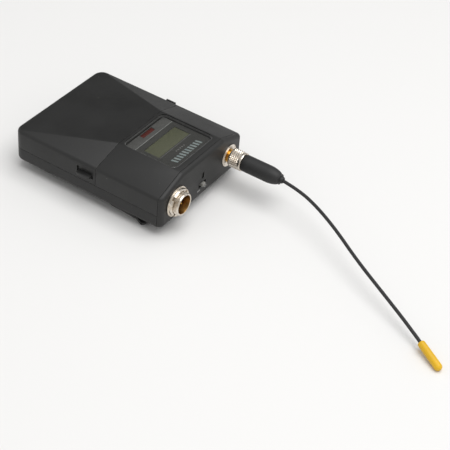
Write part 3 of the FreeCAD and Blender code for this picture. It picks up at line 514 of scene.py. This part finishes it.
def edit(piece):
    """Edit mode on one piece, in vertex mode, with nothing selected."""
    pick(piece)
    bpy.ops.object.mode_set(mode="EDIT")
    bpy.ops.mesh.select_mode(type="VERT")
    bpy.ops.mesh.select_all(action="DESELECT")


def choose(piece, kind, test):
    """In edit mode, selects the vertices, edges or faces that pass the test."""
    bpy.ops.mesh.select_mode(type=kind)
    mesh = bmesh.from_edit_mesh(piece.data)
    parts = {"VERT": mesh.verts, "EDGE": mesh.edges, "FACE": mesh.faces}[kind]
    for part in [*mesh.verts, *mesh.edges, *mesh.faces]:
        part.select = False
    for part in parts:
        if test(part):
            part.select_set(True)
    mesh.select_flush_mode()
    bmesh.update_edit_mesh(piece.data)


def apply_place(piece):
    pick(piece)
    bpy.ops.object.transform_apply(location=True, rotation=True, scale=True)


def finish_modifier(piece, kind, **values):
    """Adds a modifier with these values to the piece and applies it."""
    pick(piece)
    bpy.ops.object.modifier_add(type=kind)
    modifier = piece.modifiers[-1]
    for name, value in values.items():
        setattr(modifier, name, value)
    bpy.ops.object.modifier_apply(modifier=modifier.name)


def cut_out(piece, cutter):
    """Takes the cutter's shape out of the piece, and then the cutter out of the scene."""
    finish_modifier(piece, "BOOLEAN", object=cutter, operation="DIFFERENCE", solver="EXACT")
    bpy.data.objects.remove(cutter)


def outward(piece):
    """Merges doubled vertices and turns every face outwards."""
    edit(piece)
    bpy.ops.mesh.select_all(action="SELECT")
    bpy.ops.mesh.remove_doubles(threshold=1e-6)
    bpy.ops.mesh.normals_make_consistent(inside=False)
    object_mode()


def dress(piece, material, body, smooth=35.0):
    """Gives a finished piece its material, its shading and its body."""
    pick(piece)
    bpy.ops.object.shade_smooth_by_angle(angle=math.radians(smooth))
    piece.data.materials.clear()
    piece.data.materials.append(material)
    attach(piece, body)


def open_ring(name, centre, x, radius, sides):
    """A ring of loose edges round a line along X, left in edit mode and selected all round."""
    clear()
    bpy.ops.mesh.primitive_circle_add(
        vertices=sides, radius=radius * MM, fill_type="NOTHING",
        location=at(x, *centre), rotation=(0.0, math.pi / 2, 0.0),
    )
    ring = bpy.context.object
    ring.name = name
    apply_place(ring)
    edit(ring)
    bpy.ops.mesh.select_all(action="SELECT")
    return ring


def turned(name, centre, profile, sides=96, closed=True):
    """A piece turned about a line along X through centre: the profile is (x, radius) in mm, from
    the case's zero. A closed profile comes back to its start, and an open one ends in a point."""
    x, radius = profile[0]
    piece = open_ring(name, centre, x, radius, sides)
    middle = at(0, *centre)
    for next_x, next_radius in profile[1:] + ([profile[0]] if closed else []):
        next_radius = max(next_radius, POINT)
        size = next_radius / radius
        bpy.ops.mesh.extrude_region_move(
            TRANSFORM_OT_translate={"value": ((next_x - x) * MM, 0.0, 0.0)}
        )
        if size != 1.0:
            bpy.ops.transform.resize(
                value=(1.0, size, size), center_override=(at(next_x, 0, 0).x, middle.y, middle.z)
            )
        x, radius = next_x, next_radius
    if not closed:
        bpy.ops.mesh.merge(type="CENTER")
    outward(piece)
    return piece


def block(name, low, high):
    """A box between two corners given in case millimetres, to be shaped further."""
    clear()
    first, second = at(*low), at(*high)
    bpy.ops.mesh.primitive_cube_add(size=1.0, location=(first + second) / 2)
    piece = bpy.context.object
    piece.name = name
    piece.scale = second - first
    apply_place(piece)
    return piece


def rounded(piece, width, segments=2, angle=40.0):
    """Softens every edge sharper than the angle."""
    finish_modifier(
        piece, "BEVEL", width=width * MM, segments=segments, limit_method="ANGLE",
        angle_limit=math.radians(angle), use_clamp_overlap=True,
    )


def moulded_copy(name, node, width, test, segments=3):
    """A copy of a CAD node whose chosen outside edges are softened. test(edge) says which."""
    clear()
    piece = add(name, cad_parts[node].data.copy())
    piece.data.materials.clear()
    edit(piece)
    bpy.ops.mesh.select_all(action="SELECT")
    bpy.ops.mesh.remove_doubles(threshold=2e-6)
    bpy.ops.mesh.customdata_custom_splitnormals_clear()
    bpy.ops.mesh.select_all(action="SELECT")
    bpy.ops.mesh.dissolve_limited(angle_limit=math.radians(0.6))
    object_mode()
    weights = "bevel_weight_edge"
    piece.data.attributes.new(weights, "FLOAT", "EDGE")
    mesh = bmesh.new()
    mesh.from_mesh(piece.data)
    layer = mesh.edges.layers.float[weights]
    for edge in mesh.edges:
        edge[layer] = 1.0 if len(edge.link_faces) == 2 and test(edge) else 0.0
    mesh.to_mesh(piece.data)
    mesh.free()
    finish_modifier(
        piece, "BEVEL", width=width * MM, segments=segments, limit_method="WEIGHT",
        use_clamp_overlap=True,
    )
    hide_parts(node)
    return piece


def sharp(edge):
    """True where two faces meet at more than forty degrees."""
    return edge.calc_face_angle(0.0) > math.radians(40.0)


def ends(edge, axis):
    """Where an edge's two ends lie along one axis of the case, in mm."""
    return [vert.co[axis] / MM - CASE_ORIGIN[axis] for vert in edge.verts]


def outside(edge):
    """True where an edge lies on the case's outer skin, and not inside a wall."""
    for vert in edge.verts:
        x, y, z = vert.co / MM - CASE_ORIGIN
        roof = min(
            PANEL_HEIGHT - max(0.0, abs(y) - PANEL_HALF) * SHOULDER_SLOPE,
            EDGE_HEIGHT + (x - BATTERY_END) * DOOR_SLOPE,
        )
        on_a_side = abs(y) > 31.7 or x > 40.6 or x < -42.9
        if not (on_a_side or abs(z - roof) < 0.75 or z < 0.3):
            return False
    return True


# ------------------------------------------------------------------ case shells

def on_seam(edge):
    """True for a sharp outside edge at the connector panel, the door's edge or the split."""
    if not (sharp(edge) and outside(edge)):
        return False
    along, high = ends(edge, 0), ends(edge, 2)
    return (
        all(abs(x - END_SEAM) < 0.35 for x in along)
        or all(SEAM_SIDE - 0.3 < x < SEAM_SIDE + 1.1 for x in along)
        or all(abs(z - SPLIT) < 0.3 for z in high)
    )


def case_shells():
    """The four shells, with their edges softened along the seams."""
    shells = (
        ("battery_door_shell", "battery_door", "door", CASE_BLACK),
        ("front_cover_shell", "front_cover", "case", CASE_BLACK),
        ("back_shell_tray", "back_shell", "case", CASE_BLACK),
        ("connector_panel", "end_panel", "case", PANEL_BLACK),
    )
    for name, node, body, material in shells:
        shell = moulded_copy(name, node, 0.6, on_seam)
        dress(shell, material, body, 32.0)


def small_mouldings():
    """The small parts keep the shape they have in the case, with their edges broken."""
    parts = (
        ("latch_near_tab", "door_latch_near", "latch_near", "case_plastic", CASE_BLACK, 0.15),
        ("latch_far_tab", "door_latch_far", "latch_far", "case_plastic", CASE_BLACK, 0.15),
        ("clip_hinge_bracket", "clip_bracket", "case", "case_plastic", CASE_BLACK, 0.25),
        ("belt_clip_plate", "belt_clip", "clip", "clip_metal", CLIP_BLACK, 0.12),
        ("select_cap", "select_button", "select", "case_plastic", PANEL_BLACK, 0.3),
        ("set_cap", "set_button", "set", "case_plastic", PANEL_BLACK, 0.3),
        ("control_tray", "control_deck", "case", "case_plastic", CASE_BLACK, 0.12),
    )
    for name, node, body, slot, material, width in parts:
        part = moulded_copy(name, node, width, sharp, 2)
        dress(part, material, body, 32.0)


# ------------------------------------------------------------------ display

LENS_CORNER = 3.0                       # mm: plan radius of the lens
PRINT_BACK, PRINT_FACE = 21.32, 21.36   # mm: bottom and top of the print under the lens
PRINT_EDGE = 0.012                      # mm: how far the edges of a print are broken


def window_plate(name, low, high, corner, rim=0.0):
    """A plate with round corners, and a softened upper edge where it has a rim."""
    plate = block(name, low, high)
    edit(plate)
    half_height = 0.5 * (high[2] - low[2]) * MM
    choose(plate, "EDGE", lambda e: abs(e.verts[0].co.z - e.verts[1].co.z) > half_height)
    bpy.ops.mesh.bevel(offset=corner * MM, segments=10, affect="EDGES")
    if rim:
        top = at(*high).z - 1e-5
        choose(
            plate, "EDGE",
            lambda e: e.calc_face_angle(0) > 1.0 and min(v.co.z for v in e.verts) > top,
        )
        bpy.ops.mesh.bevel(offset=rim * MM, segments=3, affect="EDGES")
    choose(plate, "FACE", lambda f: abs(f.normal.z) > 0.999)
    bpy.ops.mesh.inset(thickness=0.08 * MM, use_individual=True)
    object_mode()
    return plate


def display_lens(low, high):
    """The smoked window; the slope of its upper edge is light grey, a painted highlight."""
    lens = window_plate("display_lens", low, high, LENS_CORNER, 0.3)
    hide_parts("display_window")
    dress(lens, SMOKED, "case")
    lens.data.materials.append(RIM_HIGHLIGHT_GREY)
    # the sloping rim faces take the painted highlight grey
    for face in lens.data.polygons:
        if 0.05 < face.normal.z < 0.93:
            face.material_index = 1


def display_rim_light_frame(low, high):
    """A thin grey frame in the gap round the lens: a painted light outline where the gap would show
    shade.
    """
    gap, lap = 0.3, 0.02        # how far it reaches past the lens, and under its edge
    rim_light_frame = window_plate(
        "display_rim_light_frame", (low.x - gap, low.y - gap, 21.35), (high.x + gap, high.y + gap, 22.25),
        LENS_CORNER + 0.2,
    )
    hole = window_plate(
        "rim_light_frame_hole", (low.x + lap, low.y + lap, 21.0), (high.x - lap, high.y - lap, 23.0),
        LENS_CORNER,
    )
    cut_out(rim_light_frame, hole)
    rounded(rim_light_frame, 0.04, angle=60.0)
    # the frame's grey is a painted light outline in the lens's shaded gap
    dress(rim_light_frame, STRIP_PRINT_AND_RIM_LIGHT, "case")


def display_strip():
    """The grey band beside the display, cut out round the red window."""
    strip = block("display_strip", (7.9, -14.7, PRINT_BACK), (12.95, 14.7, PRINT_FACE))
    hole = block("strip_hole", (8.25, -4.55, PRINT_BACK - 1), (10.75, 4.55, PRINT_FACE + 1))
    cut_out(strip, hole)
    rounded(strip, PRINT_EDGE)
    dress(strip, STRIP_PRINT_AND_RIM_LIGHT, "case")


def printed(name, x, y, material, slant=0.0):
    """A thin mark printed under the lens between two x and two y; a slant moves its far end
    across."""
    mark = block(name, (x[0], y[0], PRINT_BACK), (x[1], y[1], PRINT_FACE))
    if slant:
        edit(mark)
        middle = at((x[0] + x[1]) / 2, 0, 0).x
        choose(mark, "VERT", lambda v: v.co.x > middle)
        bpy.ops.transform.translate(value=(0.0, slant * MM, 0.0))
    rounded(mark, PRINT_EDGE)
    dress(mark, material, "case")


def display():
    """The lens, its grey frame painted as a light outline, and what is printed under it: a band,
    two lines, ten slanting marks and five dots."""
    low, high = case_box("display_window")
    display_lens(low, high)
    display_rim_light_frame(low, high)
    display_strip()
    printed("display_step_line", (12.98, 13.25), (-14.7, 14.7), PRINT_GREY)
    printed("display_glass_edge", (25.45, 25.7), (-12.1, 12.1), PRINT_DIM)
    for number in range(10):
        across = -10.4 + number * 2.1
        printed(f"slant_mark_{number + 1}", (30.2, 33.4), (across, across + 1.15), PRINT_BLUE, 0.7)
    for number in range(5):
        across = -3.3 + number * 1.5
        printed(f"dot_mark_{number + 1}", (27.7, 28.5), (across, across + 0.75), PRINT_DIM)


def lcd():
    """The liquid crystal glass, its field raised inside a narrow border."""
    glass = block("lcd_field", (15.5, -12.9, 19.3), (25.8, 12.9, 20.2))
    edit(glass)
    choose(glass, "FACE", lambda f: f.normal.z > 0.9)
    bpy.ops.mesh.inset(thickness=0.85 * MM)
    bpy.ops.transform.translate(value=(0.0, 0.0, 0.8 * MM))
    object_mode()
    rounded(glass, 0.06)
    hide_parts("lcd_glass")
    dress(glass, LCD, "case")


def red_window():
    """The indicator's red window, with seven ribs across it."""
    low, high = case_box("indicator_window")
    window = block("indicator_lens", low, (high.x, high.y, high.z - 0.15))
    rounded(window, 0.08)
    for number in range(7):
        across = -3.9 + number * 1.3
        rib = block(
            "indicator_rib", (low.x + 0.1, across - 0.3, high.z - 0.2),
            (high.x - 0.1, across + 0.3, high.z),
        )
        rounded(rib, 0.12, 3)
        window.select_set(True)
        bpy.context.view_layer.objects.active = window
        bpy.ops.object.join()
    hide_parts("indicator_window")
    dress(window, RED, "case")


# ------------------------------------------------------------------ connector panel

def panel_marks():
    """A short bar and a ring printed under the switch, for its two positions."""
    back, face = PANEL_FACE - 0.01, PANEL_FACE + 0.03
    bar = block("off_mark", (back, -3.9, 4.3), (face, -1.6, 5.0))
    rounded(bar, PRINT_EDGE)
    dress(bar, PRINT_DIM, "case")
    profile = [(back, 0.45), (back, 0.9), (face, 0.88), (face, 0.47)]
    ring = turned("on_mark", (2.6, 4.7), profile, sides=32)
    dress(ring, PRINT_DIM, "case")


def switch_knob():
    knob = moulded_copy("slide_knob", "switch_knob", 0.12, sharp, 2)
    # the knob's light grey is a painted highlight
    dress(knob, KNOB_HIGHLIGHT_GREY, "switch")


# ------------------------------------------------------------------ audio socket

def thread(start, end, pitch, crest, root):
    """Profile points of a screw thread's crests and roots."""
    points = []
    for turn in range(int(round((end - start) / pitch))):
        x = start + turn * pitch
        flat, foot, lift = x + pitch * 0.15, x + pitch * 0.5, x + pitch * 0.65
        points += [(x, crest), (flat, crest), (foot, root), (lift, root)]
    return points + [(end, crest)]


def socket_barrel():
    """The socket's threaded barrel, its bore darker than the rest."""
    profile = [(34.0, 4.6), (34.0, 5.55), (37.4, 5.55), (37.4, 7.15), (39.4, 7.15), (39.4, 5.55)]
    profile += thread(40.6, 45.6, 0.5, 5.55, 5.28)
    profile += [(45.85, 5.5), (46.08, 5.4), (46.2, 5.2), (46.2, 4.85), (46.1, 4.68), (45.9, 4.6)]
    barrel = turned("socket_barrel", SOCKET, profile)
    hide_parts("audio_socket")
    dress(barrel, NICKEL, "case", 28.0)
    barrel.data.materials.append(BORE)
    middle = at(0, *SOCKET)
    for face in barrel.data.polygons:
        spot = face.center
        if math.hypot(spot.y - middle.y, spot.z - middle.z) < 4.66 * MM:
            face.material_index = 1


def socket_ring_nut():
    """The ring nut that holds the socket, with four notches for its key."""
    nut = turned("socket_ring_nut", SOCKET, [
        (41.5, 5.56), (41.5, 7.3), (41.62, 7.5), (42.2, 7.5), (42.3, 7.4), (42.3, 6.95),
        (42.42, 6.85), (43.7, 6.85), (43.93, 6.72), (44.0, 6.5), (44.0, 5.9), (43.85, 5.56),
    ], sides=120)
    for quarter in range(4):
        clear()
        angle = math.radians(45 + 90 * quarter)
        across, up = SOCKET[0] + 6.4 * math.cos(angle), SOCKET[1] + 6.4 * math.sin(angle)
        bpy.ops.mesh.primitive_cube_add(
            size=1.0, location=at(43.6, across, up), rotation=(angle, 0.0, 0.0),
        )
        cutter = bpy.context.object
        cutter.scale = (1.6 * MM, 2.4 * MM, 1.7 * MM)
        apply_place(cutter)
        cut_out(nut, cutter)
    rounded(nut, 0.1, angle=50.0)
    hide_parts("socket_nut")
    dress(nut, NICKEL, "case", 30.0)


# ------------------------------------------------------------------ antenna joint

def knurled_sleeve(name, centre, x, radius, depth, around, rows):
    """A sleeve of diamond points: every other vertex of a fine grid stands out."""
    sleeve = open_ring(name, centre, x[0], radius - depth, around * 2)
    middle = at(0, *centre)
    step = (x[1] - x[0]) / rows
    for row in range(rows):
        bpy.ops.mesh.extrude_region_move(TRANSFORM_OT_translate={"value": (step * MM, 0.0, 0.0)})

    def column(vert):
        angle = math.atan2(vert.co.z - middle.z, vert.co.y - middle.y)
        return round(angle / math.pi * around)

    def row_of(vert):
        return round((vert.co.x / MM - CASE_ORIGIN.x - x[0]) / step)

    def stands(vert):
        return (column(vert) + row_of(vert)) % 2 == 0 and 0 < row_of(vert) < rows

    choose(sleeve, "VERT", stands)
    grow = radius / (radius - depth)
    bpy.ops.transform.resize(value=(1.0, grow, grow), center_override=tuple(middle))
    mesh = bmesh.from_edit_mesh(sleeve.data)
    for face in list(mesh.faces):
        low = [vert for vert in face.verts if (column(vert) + row_of(vert)) % 2]
        if len(low) == 2:
            bmesh.utils.face_split(face, low[0], low[1])
    bmesh.update_edit_mesh(sleeve.data)
    outward(sleeve)
    return sleeve


def antenna_joint():
    """The panel's threaded jack and its washer, and the knurled nut of the antenna."""
    profile = [(36.4, 2.05), (36.4, 3.175), (37.2, 3.175), (37.2, 4.8), (39.4, 4.8), (39.4, 3.1)]
    profile += thread(40.1, 46.4, 0.7, 3.175, 2.86)
    profile += [(46.8, 3.15), (47.0, 2.95), (47.0, 2.3), (46.8, 2.05)]
    jack = turned("jack_thread", JACK, profile, sides=72)
    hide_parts("antenna_jack")
    dress(jack, GOLD, "case", 28.0)
    ring = turned("jack_washer", JACK, [
        (41.5, 3.2), (41.5, 5.5), (41.6, 5.65), (41.95, 5.65), (42.05, 5.55), (42.05, 5.0),
        (42.12, 4.9), (42.22, 4.9), (42.3, 4.8), (42.3, 3.35), (42.2, 3.2),
    ])
    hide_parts("jack_ring")
    dress(ring, NUT_NICKEL, "case", 30.0)
    sleeve = knurled_sleeve(
        "nut_knurl", JACK, (43.95, 49.0), radius=4.65, depth=0.34, around=24, rows=8,
    )
    dress(sleeve, NUT_NICKEL, "nut", 12.0)
    nut = turned("nut_body", JACK, [
        (43.6, 3.24), (43.6, 4.1), (43.7, 4.28), (43.95, 4.34), (49.0, 4.34), (49.05, 4.42),
        (49.2, 4.5), (50.2, 4.5), (50.42, 4.4), (50.5, 4.2), (50.5, 2.62), (49.3, 2.62),
        (49.3, 3.24),
    ])
    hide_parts("antenna_nut")
    dress(nut, NUT_NICKEL, "nut", 30.0)


def boot():
    """The rubber boot: a straight sleeve that narrows in a curve to the whip."""
    start, thick, thin = 50.6, 4.1, 1.72
    profile = [
        (start, 2.56), (start, 3.7), (start + 0.12, 3.95), (start + 0.4, thick), (start + 3, thick),
    ]
    for step in range(13):
        part = step / 12
        radius = thin + (thick - thin) * math.sqrt(1 - part ** 1.7)
        profile.append((BOOT_END - 7.9 + part * 6.4, radius))
    profile += [
        (BOOT_END - 0.9, 1.66), (BOOT_END - 0.25, 1.58), (BOOT_END, 1.4), (BOOT_END, 0.82),
        (BOOT_END - 1.4, 0.82), (BOOT_END - 1.4, 2.56),
    ]
    sleeve = turned("antenna_sleeve", JACK, profile)
    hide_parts("antenna_boot")
    dress(sleeve, RUBBER_BLACK, "antenna", 40.0)
    return sleeve


def whip_line(cord):
    """Points along the whip's own line."""
    thin = cord.data.copy()
    thin.bevel_depth = 0.0
    line = add("whip_line", thin)
    bpy.context.view_layer.update()
    depsgraph = bpy.context.evaluated_depsgraph_get()
    mesh = bpy.data.meshes.new_from_object(line.evaluated_get(depsgraph))
    points = [vert.co.copy() for vert in mesh.vertices]
    bpy.data.objects.remove(line)
    return points


def tip_cap(points):
    """A dipped cap on the whip's end, turned along X and then laid along the whip."""
    depth = 0.012       # how far the whip reaches into the cap, in metres
    end = points[-1]
    back = next(point for point in reversed(points) if (point - end).length > depth)
    along = (end - back).normalized()
    profile = [
        (0.0, 0.86), (0.0, 1.45), (0.12, 1.62), (0.45, 1.72), (1.2, 1.76), (9.0, 1.8), (13.2, 1.8),
    ]
    for step in range(1, 8):
        dome = math.radians(step * 11.5)
        profile.append((13.2 + 1.78 * math.sin(dome), 1.8 * math.cos(dome)))
    profile += [(14.97, 0.22), (14.86, 0.12), (14.83, 0.0)]
    cap = turned("tip_cap", (0.0, 0.0), profile, sides=48, closed=False)
    edit(cap)
    choose(cap, "EDGE", lambda e: e.is_boundary)
    bpy.ops.mesh.edge_face_add()
    bpy.ops.mesh.poke()
    outward(cap)
    turn = Vector((1.0, 0.0, 0.0)).rotation_difference(along).to_matrix().to_4x4()
    to_start, from_zero = end - along * depth, at(0, 0, 0)
    cap.data.transform(Matrix.Translation(to_start) @ turn @ Matrix.Translation(-from_zero))
    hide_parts("antenna_tip")
    dress(cap, YELLOW, "antenna", 40.0)
    return cap


# ------------------------------------------------------------------ whip

WHIP_ROUTE = [
    (0.06665, 0.0212, 0.0161),
    (0.07715, 0.0201, 0.0158),
    (0.08915, 0.0163, 0.0148),
    (0.10325, 0.0099, 0.0129),
    (0.12035, 0.0003, 0.0103),
    (0.13945, -0.0089, 0.0077),
    (0.15765, -0.0177, 0.0051),
    (0.17485, -0.0267, 0.0020),
]


def whip():
    """The whip as a curve of its real thickness, with the boot and the tip cap it carries."""
    curve = bpy.data.curves.new("whip_cord", "CURVE")
    curve.dimensions = "3D"
    spline = curve.splines.new("NURBS")
    spline.points.add(len(WHIP_ROUTE) - 1)
    for point, place in zip(spline.points, WHIP_ROUTE):
        point.co = (*place, 1.0)
    spline.order_u = 3
    spline.use_endpoint_u = True
    spline.resolution_u = 24
    curve.bevel_depth = 0.0008      # half the whip's thickness
    curve.bevel_resolution = 6
    curve.use_fill_caps = True
    cord = add("whip_cord", curve)
    curve.materials.append(RUBBER_BLACK)
    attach(cord, "antenna")
    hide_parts("antenna_whip")
    sleeve = boot()
    cap = tip_cap(whip_line(cord))


place_camera()
studio()
floor()
finish_nodes()
case_shells()
small_mouldings()
display()
lcd()
red_window()
panel_marks()
switch_knob()
socket_barrel()
socket_ring_nut()
antenna_joint()
whip()
